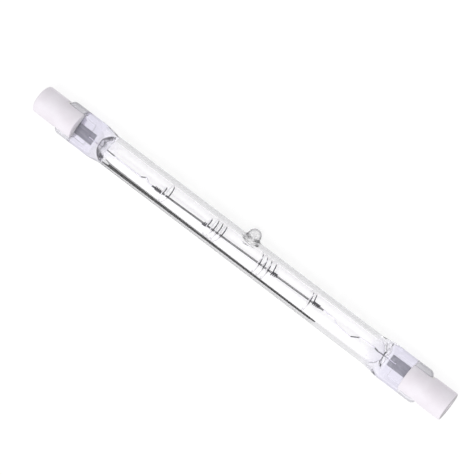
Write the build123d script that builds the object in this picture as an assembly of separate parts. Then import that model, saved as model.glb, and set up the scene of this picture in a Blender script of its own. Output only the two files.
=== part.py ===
from build123d import *
import math
import os

os.makedirs("parts", exist_ok=True)

# A double-ended quartz infrared lamp, in millimetres.
# It is drawn with its axis along X, the exhaust tip towards +Y and the flat faces of its
# seals towards +Z. At the end it is turned about its axis to lie as it comes to rest.

# Overall size, and the depth of the recess that each contact sits in.
overall_length = 117.6
recess_depth = 1.7

# Quartz tube. The jaws squeeze each end of its bore to a wedge with a half-round outline.
tube_diameter = 7.6
tube_wall = 1.1
bore_end_thickness = 0.6

# Shoulder, where the round tube was pressed into the flat pinch seal. Its outline is lofted
# through ovals at these shares of its length, each broader over the flats than at the sides.
shoulder_length = 5.0
shoulder_shares = (0.12, 0.3, 0.5, 0.7, 0.88, 1.0)
shoulder_squash = 0.8
shoulder_corner_angle = 41.0
nearly_nothing = 1e-6
pinch_length = 9.7
pinch_width = 8.7
pinch_thickness = 2.8
pinch_corner_radius = 1.4

# The jaws leave a recessed flat between two thicker beads.
flat_recess = 0.4
bead_width = 0.95
flat_set_back = 0.9
flat_corner_radius = 0.6

# Exhaust tip, a drop of quartz on the side of the tube.
tip_offset = 1.4
tip_radius = 1.65
tip_height = 2.25
tip_flare_radius = 1.4
tip_funnel_radius = 0.8
tip_funnel_end_radius = 0.3
tip_cover = 1.2

# Ceramic cap.
cap_diameter = 7.1
cap_length = 11.3
cap_outer_edge = 0.35
cap_inner_edge = 0.2
pinch_in_cap = 4.8
slot_side_gap = 0.15
slot_end_gap = 0.5

# Cement stops a little inside the cap's outer surface.
cement_inset = 0.15

# Contact button, flush with the recess's floor, with a sleeve that grips the outer lead.
recess_diameter = 3.6
button_rim = 0.2
button_thickness = 0.8
button_edge = 0.2
sleeve_diameter = 1.5
sleeve_length = 1.6

# Leads and sealing foils.
outer_lead_diameter = 0.6
inner_lead_diameter = 0.28
foil_width = 2.8
foil_thickness = 0.05
foil_edge_taper = 0.3
foil_length = 8.9
foil_end_margin = 1.0
outer_weld_length = 1.6
inner_weld_length = 1.5
weld_seat = 0.8
left_foil_offset = -0.4
right_foil_offset = 0.65

# Filament, a close coil on a line that is a little askew in the bore.
coil_diameter = 0.5
coil_bore_clearance = 0.01
filament_left_reach = 24.9
filament_right_reach = 24.0
filament_left_height = -0.68
filament_right_height = 0.36
lead_in_coil = 2.0

# Kinks of the inner leads: how far past the filament's end, and how high.
left_lead_kinks = [(3.3, -0.55), (2.1, 0.1), (0.9, -0.66)]
right_lead_kinks = [(10.3, 0.5), (8.2, -0.74), (4.3, -0.42), (3.2, 0.28)]
lead_entry = 0.4

# Support wires.
support_wire_diameter = 0.2
wrap_clearance = 0.02
loop_clearance = 0.06
leg_advance = 0.45
leg_turn = 100.0

# Flats on the outlines of the thinnest wires, which are drawn many-sided to stay light.
lead_sides = 12
support_sides = 3
band_sides = 12

# Where the wraps on the filament's two ends start, inwards from those ends.
left_wrap_inset = 0.9
right_wrap_inset = 1.1

# For each support: where its wrap starts, how long the wrap is, how far the whole support
# reaches towards the lamp's middle, and the turns of its loops.
supports = {
    "support_end_left": (left_wrap_inset - filament_left_reach, 2.2, 3.7, 1.1),
    "support_mid_left": (-10.0, 1.1, 5.2, 3.1),
    "support_mid_right": (10.9, 1.3, 5.7, 3.1),
    "support_end_right": (filament_right_reach - right_wrap_inset, 1.8, 3.3, 1.1),
}

# Half sizes, and stations along the axis counted outwards from the middle.
tube_radius = tube_diameter / 2
bore_radius = tube_radius - tube_wall
cap_radius = cap_diameter / 2
button_radius = recess_diameter / 2 - button_rim
cap_outer_x = overall_length / 2
cap_inner_x = cap_outer_x - cap_length
contact_x = cap_outer_x - recess_depth
pocket_floor_x = contact_x - button_thickness
pinch_outer_x = cap_inner_x + pinch_in_cap
pinch_inner_x = pinch_outer_x - pinch_length
tube_end_x = pinch_inner_x - shoulder_length
slot_floor_x = pinch_outer_x + slot_end_gap
foil_outer_x = pinch_outer_x - foil_end_margin
foil_inner_x = foil_outer_x - foil_length

# The foil lies under both leads, which are flattened a little where they are welded.
foil_w = -(outer_lead_diameter / 2 * weld_seat + foil_thickness / 2)
inner_lead_w = foil_w + foil_thickness / 2 + inner_lead_diameter / 2 * weld_seat

# The lamp rests on its tube, leaning over to its exhaust tip. The rounded end of the tip
# stays a hair clear of the surface, so that the tube carries the weight.
tip_clear_angle = 4.5
tip_centre_v = tube_radius + tip_height - tip_radius
touch_turn = math.degrees(math.asin((tube_radius - tip_radius) / tip_centre_v))
rest_turn = touch_turn - tip_clear_angle


def along_axis(shape):
    """Turns a shape made about Z so that its Z runs along the lamp's axis."""
    return Rot(Y=90) * shape


def rod(radius, start_x, end_x):
    """A round bar on the lamp's axis from one station to the other."""
    length = end_x - start_x
    bar = along_axis(Cylinder(radius, length))
    return Pos(X=(start_x + end_x) / 2) * bar


def arc_or_line(start, middle, end):
    """An arc through three points, or a line where the three are level."""
    if abs(start.Z - middle.Z) < nearly_nothing:
        return Edge.make_line(start, end)
    return Edge.make_three_point_arc(start, middle, end)


def oval_wire(x, half_width, half_thickness, side_radius):
    """An oval of four arcs in tangent: broad ones over the flats, round ones at the sides."""
    side_centre = half_width - side_radius
    spread = half_thickness - side_radius
    angle = math.pi / 2
    if spread > nearly_nothing:
        reach = side_centre**2 + half_thickness**2 - side_radius**2
        broad_radius = reach / (2 * spread)
        angle = math.atan2(broad_radius - half_thickness, side_centre)
    joint_v = side_centre + side_radius * math.cos(angle)
    joint_w = side_radius * math.sin(angle)
    corners = [
        Vector(x, joint_v, joint_w),
        Vector(x, -joint_v, joint_w),
        Vector(x, -joint_v, -joint_w),
        Vector(x, joint_v, -joint_w),
    ]
    top = arc_or_line(corners[0], Vector(x, 0, half_thickness), corners[1])
    left = Edge.make_three_point_arc(corners[1], Vector(x, -half_width, 0), corners[2])
    bottom = arc_or_line(corners[2], Vector(x, 0, -half_thickness), corners[3])
    right = Edge.make_three_point_arc(corners[3], Vector(x, half_width, 0), corners[0])
    return Wire([top, left, bottom, right])


def circle_wire(x, radius, angle):
    """The tube's round outline, parted at the same four corners as the ovals."""
    joint_v = radius * math.cos(angle)
    joint_w = radius * math.sin(angle)
    corners = [
        Vector(x, joint_v, joint_w),
        Vector(x, -joint_v, joint_w),
        Vector(x, -joint_v, -joint_w),
        Vector(x, joint_v, -joint_w),
    ]
    middles = [
        Vector(x, 0, radius),
        Vector(x, -radius, 0),
        Vector(x, 0, -radius),
        Vector(x, radius, 0),
    ]
    arcs = [
        Edge.make_three_point_arc(corners[i], middles[i], corners[(i + 1) % 4])
        for i in range(4)
    ]
    return Wire(arcs)


def shoulder():
    """The blend from the round tube to the flat pinch, lofted through a few ovals."""
    wires = [circle_wire(tube_end_x, tube_radius, math.radians(shoulder_corner_angle))]
    for share in shoulder_shares:
        ease = share * share * (3 - 2 * share)
        half_width = tube_radius + (pinch_width / 2 - tube_radius) * ease
        half_thickness = tube_radius + (pinch_thickness / 2 - tube_radius) * ease
        squash = shoulder_squash * (half_width - half_thickness) * (1 - ease)
        x = tube_end_x + shoulder_length * share
        wires.append(oval_wire(x, half_width, half_thickness, half_thickness - squash))
    return Solid.make_loft(wires)


def pinch():
    """The flat seal: beads along both edges, a recessed flat between, rounded corners."""
    section = Plane.YZ.offset(pinch_inner_x) * SlotOverall(pinch_width, pinch_thickness)
    body = extrude(section, pinch_length)
    outline_length = 2 * pinch_length
    outline = RectangleRounded(outline_length, pinch_width, pinch_corner_radius)
    plan = extrude(outline, pinch_thickness, both=True)
    body &= Pos(X=pinch_outer_x - outline_length / 2) * plan
    flat_start_x = pinch_inner_x + flat_set_back
    flat_length = 2 * (pinch_outer_x - flat_start_x)
    flat_width = pinch_width - 2 * bead_width
    flat = extrude(RectangleRounded(flat_length, flat_width, flat_corner_radius), flat_recess)
    face_w = pinch_thickness / 2 - flat_recess
    upper = Pos(X=pinch_outer_x, Z=face_w) * flat
    lower = Pos(X=pinch_outer_x, Z=-face_w - flat_recess) * flat
    return body - upper - lower


def bore_end():
    """The squeezed end of the bore: half-round seen on the flat, a wedge seen from the side."""
    end_x = tube_end_x + bore_radius
    half_end = bore_end_thickness / 2
    side_view = Polyline(
        (tube_end_x, -bore_radius),
        (tube_end_x, bore_radius),
        (end_x, half_end),
        (end_x, -half_end),
        close=True,
    )
    wedge = extrude(Plane.XZ * make_face(side_view), bore_radius, both=True)
    flat_view = Pos(X=tube_end_x) * Cylinder(bore_radius, tube_diameter)
    return wedge & flat_view & rod(bore_radius, tube_end_x, end_x)


def bore():
    """The space in the tube, with both of its ends."""
    squeezed = bore_end()
    hollow = rod(bore_radius, -tube_end_x, tube_end_x)
    return hollow + squeezed + mirror(squeezed, about=Plane.YZ)


def exhaust_tip():
    """The drop of quartz: a round neck from inside the wall up to a half-round end."""
    root_v = (tube_radius + bore_radius) / 2
    root = Line((0, root_v), (tip_radius, root_v))
    neck = Line((tip_radius, root_v), (tip_radius, tip_centre_v))
    dome = CenterArc((0, tip_centre_v), tip_radius, 0, 90)
    stem = Line((0, tip_centre_v + tip_radius), (0, root_v))
    profile = make_face([root, neck, dome, stem])
    return Pos(X=tip_offset) * revolve(profile, Axis.Y)


def tip_funnel():
    """The closed-off bore of the exhaust tube, narrowing into the tip."""
    root_v = bore_radius - tube_wall / 2
    end_v = tube_radius + tip_height - tip_cover
    funnel = make_face(
        Polyline(
            (0, root_v),
            (tip_funnel_radius, root_v),
            (tip_funnel_end_radius, end_v),
            (0, end_v),
            close=True,
        )
    )
    return Pos(X=tip_offset) * revolve(funnel, Axis.Y)


def foil(side, offset):
    """A thin strip whose long edges taper, so that the quartz seals round it."""
    half = foil_width / 2
    thin = foil_thickness / 2
    outline = Polyline(
        (-half, 0),
        (foil_edge_taper - half, thin),
        (half - foil_edge_taper, thin),
        (half, 0),
        (half - foil_edge_taper, -thin),
        (foil_edge_taper - half, -thin),
        close=True,
    )
    section = Plane.YZ.offset(foil_inner_x) * make_face(outline)
    strip = Pos(Y=offset, Z=foil_w) * extrude(section, foil_length)
    if side < 0:
        strip = mirror(strip, about=Plane.YZ)
    return strip


def filament_point(x):
    """The point of the filament's own line at a station x."""
    run = filament_left_reach + filament_right_reach
    share = (x + filament_left_reach) / run
    rise = filament_right_height - filament_left_height
    return Vector(x, filament_left_height + rise * share, inner_lead_w)


def filament_direction():
    """Unit vector along the filament from left to right."""
    return (filament_point(1) - filament_point(0)).normalized()


def filament():
    """The coil's body with its open middle."""
    start = filament_point(-filament_left_reach)
    length = (filament_point(filament_right_reach) - start).length
    core_radius = inner_lead_diameter / 2 + coil_bore_clearance
    body = Cylinder(coil_diameter / 2, length, align=(Align.CENTER, Align.CENTER, Align.MIN))
    core = Cylinder(core_radius, length, align=(Align.CENTER, Align.CENTER, Align.MIN))
    return Plane(start, z_dir=filament_direction()) * (body - core)


def inner_lead(side, offset, kinks, strip):
    """The wire from the foil, with its kinks, into the end of the coil."""
    reach = filament_right_reach if side > 0 else filament_left_reach
    points = [Vector(side * (foil_inner_x + inner_weld_length), offset, inner_lead_w)]
    for past_end, height in kinks:
        points.append(Vector(side * (reach + past_end), height, inner_lead_w))
    points.append(filament_point(side * (reach + lead_entry)))
    points.append(filament_point(side * (reach - lead_in_coil)))
    path = Polyline(*points)
    start = Plane(path @ 0, z_dir=path % 0)
    section = start * RegularPolygon(inner_lead_diameter / 2, lead_sides)
    wire = sweep(section, path, transition=Transition.RIGHT)
    return wire - strip


def outer_lead(side, strip):
    """The thicker wire from the foil out to the bottom of the contact's sleeve."""
    end_x = contact_x - button_thickness / 2
    wire = rod(outer_lead_diameter / 2, foil_outer_x - outer_weld_length, end_x)
    if side < 0:
        wire = mirror(wire, about=Plane.YZ)
    return wire - strip


def contact():
    """A button with a bevelled rim, and the sleeve behind it that holds the lead."""
    button = rod(button_radius, pocket_floor_x, contact_x)
    rim = button.edges().filter_by(GeomType.CIRCLE).sort_by(Axis.X)[-1]
    button = chamfer(rim, button_edge)
    sleeve = rod(sleeve_diameter / 2, pocket_floor_x - sleeve_length, pocket_floor_x)
    hole_end_x = contact_x - button_thickness / 2
    hole = rod(outer_lead_diameter / 2, pocket_floor_x - sleeve_length, hole_end_x)
    return button + sleeve - hole


def slot_block():
    """The straight slot across the cap that the pinch sits in."""
    length = slot_floor_x - cap_inner_x
    block = Box(length, 2 * cap_diameter, pinch_thickness + 2 * slot_side_gap)
    return Pos(X=(slot_floor_x + cap_inner_x) / 2) * block


def ceramic_cap():
    """The cap: a round body with a slot, a recess for the contact and a hole for the lead."""
    body = rod(cap_radius, cap_inner_x, cap_outer_x)
    rims = body.edges().filter_by(GeomType.CIRCLE).sort_by(Axis.X)
    body = chamfer(rims[-1], cap_outer_edge)
    rims = body.edges().filter_by(GeomType.CIRCLE).sort_by(Axis.X)
    body = chamfer(rims[0], cap_inner_edge)
    body -= slot_block()
    body -= rod(recess_diameter / 2, contact_x, cap_outer_x)
    body -= rod(button_radius, pocket_floor_x, contact_x)
    body -= rod(sleeve_diameter / 2, pocket_floor_x - sleeve_length, pocket_floor_x)
    body -= rod(outer_lead_diameter / 2, slot_floor_x, pocket_floor_x - sleeve_length)
    return body


def cap_cement(seal):
    """What fills the slot round the pinch and the lead."""
    filling = slot_block() & rod(cap_radius - cement_inset, cap_inner_x, slot_floor_x)
    filling -= seal
    return filling - rod(outer_lead_diameter / 2, pinch_outer_x, slot_floor_x)


def support(wrap_start, wrap_reach, whole_reach, loop_turns):
    """A band of close turns round the filament, a leg, and wide turns out at the wall."""
    way = 1 if wrap_start < 0 else -1
    wrap_end = wrap_start + way * wrap_reach
    loops_end = wrap_start + way * whole_reach
    wire_radius = support_wire_diameter / 2
    wrap_inside = coil_diameter / 2 + wrap_clearance
    wrap_radius = wrap_inside + wire_radius
    loop_radius = bore_radius - loop_clearance - wire_radius
    wrap_length = (filament_point(wrap_end) - filament_point(wrap_start)).length
    ring = RegularPolygon(wrap_inside + support_wire_diameter, band_sides)
    ring -= RegularPolygon(wrap_inside, band_sides, major_radius=False)
    band = extrude(ring, wrap_length)
    line = filament_direction() * way
    wrap_plane = Plane(filament_point(wrap_start), x_dir=(0, 0, 1), z_dir=line)
    leg_root = Vector(wrap_radius, 0, wrap_length - support_wire_diameter)
    leg_start = wrap_plane.from_local_coords(leg_root)
    loops_start = wrap_end + way * leg_advance
    loops_length = abs(loops_end - loops_start)
    loop_plane = Plane((loops_start, 0, 0), x_dir=(0, 0, 1), z_dir=(way, 0, 0))
    loops = Edge.make_helix(loops_length / loop_turns, loops_length, loop_radius)
    loops = loops.moved(Location(loop_plane.location) * Rot(Z=leg_turn))
    leg = Edge.make_spline([leg_start, loops @ 0], tangents=[Vector(0, 0, 1), loops % 0])
    path = Wire([leg, loops])
    start = Plane(path @ 0, z_dir=path % 0)
    wire = sweep(start * RegularPolygon(wire_radius, support_sides), path)
    return wrap_plane * band + wire


# Sealing foils and leads, left and right.
foils = {"left": foil(-1, left_foil_offset), "right": foil(1, right_foil_offset)}
inner_leads = {
    "left": inner_lead(-1, left_foil_offset, left_lead_kinks, foils["left"]),
    "right": inner_lead(1, right_foil_offset, right_lead_kinks, foils["right"]),
}
outer_leads = {"left": outer_lead(-1, foils["left"]), "right": outer_lead(1, foils["right"])}

# Quartz envelope: straight tube with its tip, a shoulder and a pinch at each end.
tube = rod(tube_radius, -tube_end_x, tube_end_x)
drop = exhaust_tip()
envelope = tube + drop
neck_edges = [
    edge
    for edge in envelope.edges()
    if edge.geom_type not in (GeomType.LINE, GeomType.CIRCLE)
]
envelope = fillet(neck_edges, tip_flare_radius)
right_end = shoulder() + pinch()
envelope = envelope + right_end + mirror(right_end, about=Plane.YZ)
envelope -= bore()
envelope -= tip_funnel()
for sealed_in in (foils, inner_leads, outer_leads):
    for piece in sealed_in.values():
        envelope -= piece

# Caps, contacts and cement are alike at both ends.
right_pieces = {
    "ceramic_cap": ceramic_cap(),
    "contact": contact(),
    "cap_cement": cap_cement(pinch()),
}

nodes = {"quartz_envelope": envelope, "filament": filament()}
for name, sizes in supports.items():
    nodes[name] = support(*sizes)
for end in ("left", "right"):
    nodes["inner_lead_" + end] = inner_leads[end]
    nodes["outer_lead_" + end] = outer_leads[end]
    nodes["seal_foil_" + end] = foils[end]
for name, piece in right_pieces.items():
    nodes[name + "_right"] = piece
    nodes[name + "_left"] = mirror(piece, about=Plane.YZ)

for name, piece in nodes.items():
    export_step(Rot(X=-rest_turn) * piece, f"parts/{name}.step")
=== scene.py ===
# %% [markdown]
# # A double-ended quartz heat lamp
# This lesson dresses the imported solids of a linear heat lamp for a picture. The lamp is a
# clear quartz tube with a coiled filament on wire supports, a flat pressed seal and a
# white ceramic cap at each end, and a small drop of quartz on its side where it was
# sealed off. The first cell loads the solids as a fixed frame. Everything new goes where
# they are.

# %% Load the frame
import math

import bpy
import numpy as np
from mathutils import Matrix, Vector


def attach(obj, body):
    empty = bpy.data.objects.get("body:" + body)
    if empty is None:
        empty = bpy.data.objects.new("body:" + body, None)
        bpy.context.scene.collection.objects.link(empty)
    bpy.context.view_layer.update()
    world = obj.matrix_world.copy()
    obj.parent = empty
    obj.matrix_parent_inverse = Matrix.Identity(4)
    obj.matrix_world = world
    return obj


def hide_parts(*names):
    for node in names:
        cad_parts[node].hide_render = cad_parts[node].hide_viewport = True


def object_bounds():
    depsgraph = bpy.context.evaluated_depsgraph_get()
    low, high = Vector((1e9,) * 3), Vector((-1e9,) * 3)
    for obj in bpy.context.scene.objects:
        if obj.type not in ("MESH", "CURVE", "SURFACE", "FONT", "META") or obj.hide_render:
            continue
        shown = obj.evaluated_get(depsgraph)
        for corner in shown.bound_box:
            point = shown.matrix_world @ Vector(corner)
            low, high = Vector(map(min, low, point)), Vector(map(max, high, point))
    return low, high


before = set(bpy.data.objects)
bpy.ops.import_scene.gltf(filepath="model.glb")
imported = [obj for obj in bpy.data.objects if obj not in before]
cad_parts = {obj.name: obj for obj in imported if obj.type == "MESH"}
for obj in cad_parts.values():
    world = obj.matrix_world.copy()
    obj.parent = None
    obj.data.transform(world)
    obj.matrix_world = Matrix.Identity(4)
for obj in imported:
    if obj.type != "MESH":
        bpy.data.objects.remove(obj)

solid_low, solid_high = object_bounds()
print("solids' box, mm:", [round(1000 * s, 2) for s in solid_high - solid_low])

# %% [markdown]
# ## Sizes and directions
# The lamp's own measures are easiest in millimetres along three directions of its own: x
# along the tube, v towards the drop on its side, and w square to the flat faces of the
# seals. The lamp lies rolled over towards its drop, so v and w are turned about x. The
# roll at which the drop would touch the floor comes from the two round shapes, and the
# lamp lies a few degrees short of it, with its weight on the tube. The quartz stays a
# hair inside its solid, by its skin, so that the dressed lamp is no bigger than the
# packed one.

# %% The lamp's measures, in millimetres
MM = 0.001
CAP_OUTER_X = 1000 * solid_high.x
TUBE_RADIUS = 3.8
BORE_RADIUS = 2.7
TUBE_END_X = 37.6
PINCH_INNER_X = 42.6
PINCH_OUTER_X = 52.3
PINCH_HALF_WIDTH = 4.35
PINCH_HALF_THICKNESS = 1.4
DROP_X = 1.4
DROP_RADIUS = 1.65
DROP_TOP_V = 6.05
SKIN = 0.008
ENDS = {"left": -1, "right": 1}

DROP_CLEAR = math.radians(4.5)
roll = math.asin((TUBE_RADIUS - DROP_RADIUS) / (DROP_TOP_V - DROP_RADIUS)) - DROP_CLEAR
DIRECTION_V = np.array([0.0, math.cos(roll), -math.sin(roll)])
DIRECTION_W = np.array([0.0, math.sin(roll), math.cos(roll)])
LAMP_AXES = np.array([[1.0, 0.0, 0.0], DIRECTION_V, DIRECTION_W])
print("rolled by", round(math.degrees(roll), 2), "degrees")

# %% [markdown]
# ## Meshes from grids
# Every new piece is one or more closed shells. A shell is worked out as a grid of points:
# rings along a path, with the same number of points in each ring. Quads join neighbouring
# rings, and a fan of triangles closes each end on a middle point. The sign of a shell's
# volume tells which way its faces look, so it can be turned before it goes into a mesh:
# the hollow inside the quartz needs its faces turned the other way round from the
# outside.


# %% Shells
def ring_quads(rows, columns):
    """Quads that join each ring of a grid to the next, closing round the columns."""
    row = np.arange(rows - 1)[:, None] * columns
    here = np.arange(columns)[None, :]
    beside = (here + 1) % columns
    corners = [row + here, row + beside, row + columns + beside, row + columns + here]
    return np.stack(corners, axis=-1).reshape(-1, 4)


def closed_rings(rings):
    """A closed shell: quads between rings, and a fan from each end ring to its middle."""
    rows, columns, _ = rings.shape
    points = np.vstack([rings.reshape(-1, 3), rings[0].mean(0), rings[-1].mean(0)])
    here = np.arange(columns)
    beside = (here + 1) % columns
    first = np.stack([beside, here, np.full(columns, rows * columns)], axis=-1)
    last_row = (rows - 1) * columns
    last_middle = np.full(columns, rows * columns + 1)
    last = np.stack([last_row + here, last_row + beside, last_middle], axis=-1)
    return points, ring_quads(rows, columns), np.vstack([first, last])


def round_angles(count):
    """Even angles round a circle."""
    return 2 * math.pi * np.arange(count) / count


def turned_rings(x, radius, angle):
    """A profile turned about the lamp's axis: v = r cos(angle) and w = r sin(angle)."""
    v, w = radius[:, None] * np.cos(angle), radius[:, None] * np.sin(angle)
    return np.stack([np.broadcast_to(x[:, None], v.shape), v, w], axis=-1)


def volume(shell):
    """Signed volume: the sum of a . (b x c) / 6 over triangles, quads counted as two."""
    points, quads, triangles = shell
    halves = [triangles, quads[:, [0, 1, 2]], quads[:, [0, 2, 3]]]
    a, b, c = points[np.vstack(halves)].transpose(1, 0, 2)
    return float(np.einsum("ij,ij->i", a, np.cross(b, c)).sum() / 6)


def facing(shell, outwards=True):
    """The same shell with its faces turned, if need be, to look outwards or inwards."""
    points, quads, triangles = shell
    if (volume(shell) > 0) == outwards:
        return shell
    return points, quads[:, ::-1], triangles[:, ::-1]


def joined(shells):
    """Several shells as one, with their point numbers moved along."""
    counts = [len(points) for points, _, _ in shells]
    starts = np.concatenate([[0], np.cumsum(counts)[:-1]])
    points = np.vstack([shell[0] for shell in shells])
    quads = np.vstack([shell[1] + start for shell, start in zip(shells, starts)])
    triangles = np.vstack([shell[2] + start for shell, start in zip(shells, starts)])
    return points, quads, triangles


# %% A shell becomes a piece of the lamp
def make_piece(name, shell, material, slot, *nodes, inner=None, inner_quads=0):
    """Puts a shell into a mesh object in metres, and hides the solids it stands for.

    The last quads of the shell can have an inner material of their own.
    """
    points, quads, triangles = shell
    placed = (points @ LAMP_AXES) * MM
    mesh = bpy.data.meshes.new(name)
    mesh.vertices.add(len(placed))
    mesh.vertices.foreach_set("co", placed.astype(np.float32).ravel())
    mesh.loops.add(quads.size + triangles.size)
    corners = np.concatenate([quads.ravel(), triangles.ravel()])
    mesh.loops.foreach_set("vertex_index", corners.astype(np.int32))
    quad_starts = np.arange(len(quads)) * 4
    triangle_starts = quads.size + np.arange(len(triangles)) * 3
    mesh.polygons.add(len(quads) + len(triangles))
    starts = np.concatenate([quad_starts, triangle_starts]).astype(np.int32)
    mesh.polygons.foreach_set("loop_start", starts)
    mesh.polygons.foreach_set("use_smooth", np.ones(len(starts), bool))
    mesh.materials.append(material)
    if inner:
        mesh.materials.append(inner)
        number = np.arange(len(starts))
        last_quads = (number >= len(quads) - inner_quads) & (number < len(quads))
        mesh.polygons.foreach_set("material_index", last_quads.astype(np.int32))
    mesh.update(calc_edges=True)
    mesh.validate()
    piece = bpy.data.objects.new(name, mesh)
    bpy.context.scene.collection.objects.link(piece)
    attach(piece, "root")
    if nodes:
        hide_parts(*nodes)
    faces = 2 * len(quads) + len(triangles)
    print(f"{name}: {faces} triangles, {volume(shell):.2f} cubic mm")
    return piece


def sharpen(piece, degrees):
    """Keeps edges crisp where two faces meet at more than this angle."""
    piece.data.set_sharp_from_angle(angle=math.radians(degrees))


# %% [markdown]
# ## Materials
# A material is a small graph of nodes, and a few helpers keep it short to write. Each
# adds one node, feeds it, and hands back what comes out of it: a step of arithmetic, a
# range, a mix, a ramp, or a measure of the place on the piece. A noise in Object
# coordinates gives a soft unevenness that stays put on the piece. Values that are the
# same all over, such as how strongly light bends in glass, are set on the shader itself.


# %% Helpers for materials
def feed(owner, socket, value):
    """Gives a socket what comes out of another node, or else a plain value."""
    if isinstance(value, bpy.types.NodeSocket):
        owner.node_tree.links.new(value, socket)
    else:
        socket.default_value = value


def feed_named(owner, node, **values):
    """Feeds a node's input sockets by their names, and hands back the node."""
    for name, value in values.items():
        feed(owner, node.inputs[name.replace("_", " ")], value)
    return node


def new_material(name, **values):
    """A material with one main shader, whose sockets are fed by their names."""
    material = bpy.data.materials.new(name)
    material.use_nodes = True
    shader = material.node_tree.nodes["Principled BSDF"]
    return material, feed_named(material, shader, **values)


def add_node(owner, kind, **values):
    """A new node, whose sockets are fed by their names."""
    return feed_named(owner, owner.node_tree.nodes.new(kind), **values)


def computed(owner, operation, *values):
    """One step of arithmetic on numbers and on what comes out of other nodes."""
    step = add_node(owner, "ShaderNodeMath")
    step.operation = operation
    for socket, value in zip(step.inputs, values):
        feed(owner, socket, value)
    return step.outputs["Value"]


def ranged(owner, value, start, end, low=0.0, high=1.0):
    """Runs from low to high as the value runs from start to end, and is level outside."""
    limits = {"From_Min": start, "From_Max": end, "To_Min": low, "To_Max": high}
    return add_node(owner, "ShaderNodeMapRange", Value=value, **limits).outputs["Result"]


def mixed(material, factor, first, second, blend="MIX"):
    """The first colour at factor 0, and the second, or their product, at factor 1."""
    mix = add_node(material, "ShaderNodeMix")
    mix.data_type, mix.blend_type = "RGBA", blend
    first, second = ((*c, 1) if isinstance(c, tuple) else c for c in (first, second))
    return feed_named(material, mix, Factor=factor, A=first, B=second).outputs["Result"]


def between(material, factor, first, second, low=0.35, high=0.65):
    """A colour that runs from the first to the second as the factor runs low to high."""
    ramp = add_node(material, "ShaderNodeValToRGB", Fac=factor)
    stops = ramp.color_ramp.elements
    stops[0].position, stops[0].color = low, (*first, 1)
    stops[1].position, stops[1].color = high, (*second, 1)
    return ramp.outputs["Color"]


def measured(material, operation, vector):
    """The place on the piece in metres, taken along a direction or from a point."""
    step = add_node(material, "ShaderNodeVectorMath")
    step.operation = operation
    place = add_node(material, "ShaderNodeTexCoord").outputs["Object"]
    for socket, value in zip(step.inputs, (place, vector)):
        feed(material, socket, value)
    return step.outputs["Value"]


def distance_along(material):
    """The distance from the lamp's middle, along it, the same towards both ends."""
    return computed(material, "ABSOLUTE", measured(material, "DOT_PRODUCT", LAMP_AXES[0]))


def object_noise(material, scale, detail=3.0, stretch=(1.0, 1.0, 1.0)):
    """A noise that is fixed to the piece, finer with scale, and drawn out by stretch."""
    place = add_node(material, "ShaderNodeTexCoord").outputs["Object"]
    drawn = add_node(material, "ShaderNodeMapping", Vector=place, Scale=stretch)
    noise = add_node(
        material, "ShaderNodeTexNoise",
        Vector=drawn.outputs["Vector"], Scale=scale, Detail=detail,
    )
    return noise.outputs["Fac"]


def bump(material, shader, height, distance, strength):
    """A fine relief on the surface, its height in metres given by distance."""
    values = {"Height": height, "Distance": distance, "Strength": strength}
    relief = add_node(material, "ShaderNodeBump", **values)
    feed_named(material, shader, Normal=relief.outputs["Normal"])


def grained(name, noise, colours, roughness, **values):
    """A material whose colour and roughness both follow one noise on the piece.

    The noise is given by its scale, its detail and, for a drawn or rolled metal, its
    stretch.
    """
    material, shader = new_material(name, **values)
    grain = object_noise(material, *noise)
    colour = between(material, grain, *colours)
    rough = ranged(material, grain, 0.0, 1.0, *roughness)
    feed_named(material, shader, Base_Color=colour, Roughness=rough)
    return material, shader, grain, colour


# %% [markdown]
# ## Clear quartz
# Fused quartz bends light a little less than window glass, and the tube is water clear.
# The pressed seals are faintly lavender and a little hazy, because light crosses a few
# millimetres of solid quartz with fine folds in it. Where the eye looks along the wall it
# has a painted shade, a little grey, and less so in the seals. Inside the caps and at the
# drop's neck the quartz is cloudy: melting the pipe off leaves a bloom on the neck, and a
# renderer also stops following light that is reflected very often there, which would leave
# black marks.
# All of these follow the place on the lamp, and only the grey follows the angle to the
# surface, which a Layer Weight node gives. The bore's wall has a material of its own,
# because it needs no tint: it is clear but for the neck and the squeezed ends.

# %% How the quartz looks, with distances in metres
QUARTZ_CLEAR = (0.995, 0.99, 1.0)
QUARTZ_SEAL = (0.86, 0.84, 0.955)
QUARTZ_EDGE_PAINTED_SHADE = (0.60, 0.60, 0.615)
QUARTZ_IOR = 1.458
SEAL_TINT = (0.0365, 0.0425)
EDGE_SHADE_FADES = (0.0365, 0.0385)
EDGE_SHADE_IN_SEAL = 0.45
EDGE_SHADE_STARTS = (0.26, 0.34)
CAP_STARTS = (0.0474, 0.0480)
CLEAR_IN_CAP = 0.4
SEAL_HAZE = 0.13
NECK_MM = 3.7
NECK_REACH = (0.0019, 0.0026)
NECK_CLEAR = 0.72
NECK_SOFTNESS = 0.8
BORE_FOLD = (0.0378, 0.0388)
FOLD_ROUGHNESS = 0.16


def clear_round_drop(material):
    """1 away from the drop's neck, falling to the neck's own clearness close to it."""
    neck = MM * (np.array([DROP_X, 0, 0]) + NECK_MM * DIRECTION_V)
    reach = measured(material, "DISTANCE", neck)
    return ranged(material, reach, *NECK_REACH, NECK_CLEAR, 1.0)


def soft_round_drop(material, clearness):
    """Roughness that grows as the clearness falls: softness x (1 - clearness)."""
    return computed(material, "MULTIPLY_ADD", clearness, -NECK_SOFTNESS, NECK_SOFTNESS)


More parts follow.
